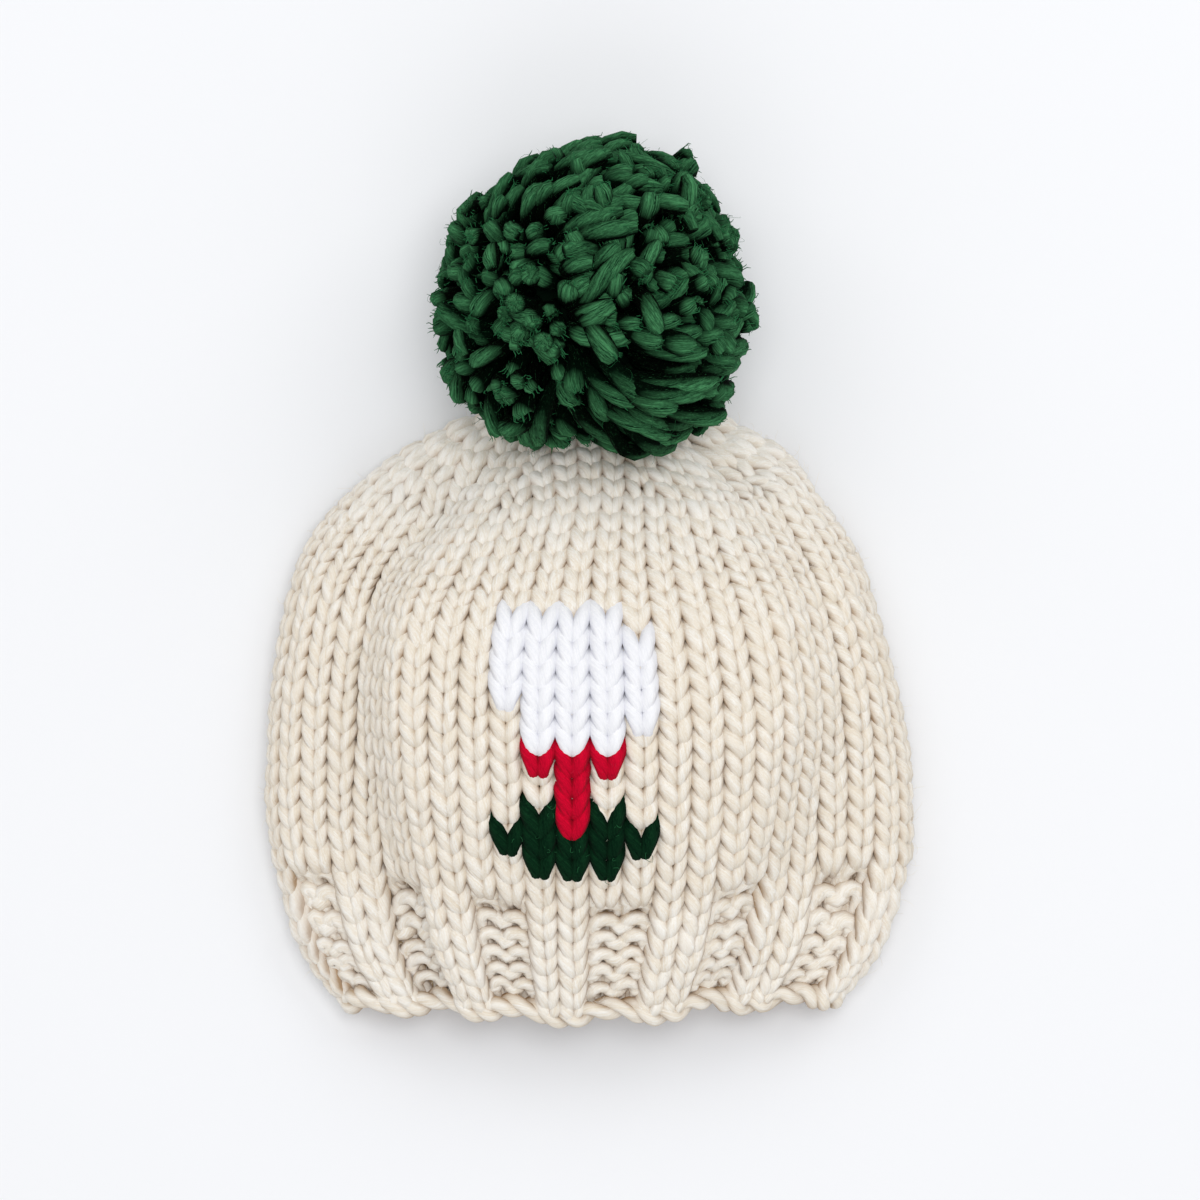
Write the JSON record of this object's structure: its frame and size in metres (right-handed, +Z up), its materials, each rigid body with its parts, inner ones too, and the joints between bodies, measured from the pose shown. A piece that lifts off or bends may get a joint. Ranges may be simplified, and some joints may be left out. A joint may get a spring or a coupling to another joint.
{
  "type": "knitted pompom beanie",
  "caption": "Chunky knitted beanie lying on its back, with a ribbed brim, a gathered crown, a yarn pompom and a stitched ball-on-a-tee picture on the front.",
  "frame": {"origin": "middle of the footprint, on the floor that the hat lies on", "axes": "+Z up out of the hat's front, +Y from the brim towards the pompom, +X to the right as seen from above"},
  "size_m": [0.1868, 0.2537, 0.0875],
  "materials": {
    "cream_knit": "soft wool yarn, matt, in stocking stitch",
    "cream_rib": "soft wool yarn, matt, in two by two ribbing",
    "cream_edge": "soft wool yarn, matt, corded edge",
    "white_yarn": "soft wool yarn, matt",
    "red_yarn": "soft wool yarn, matt, slightly fuzzy",
    "green_yarn": "soft wool yarn, matt, slightly fuzzy",
    "pompom_yarn": "cut wool yarn ends, matt and fuzzy",
    "tie_yarn": "soft wool yarn, matt"
  },
  "bodies": {
    "root": {"knit_body": "cream_knit", "ribbed_brim": "cream_rib", "cast_on_edge": "cream_edge", "ball_stitches": "white_yarn", "tee_stitches": "red_yarn", "grass_stitches": "green_yarn", "pompom": "pompom_yarn", "pompom_tie": "tie_yarn"}
  },
  "joints": []
}
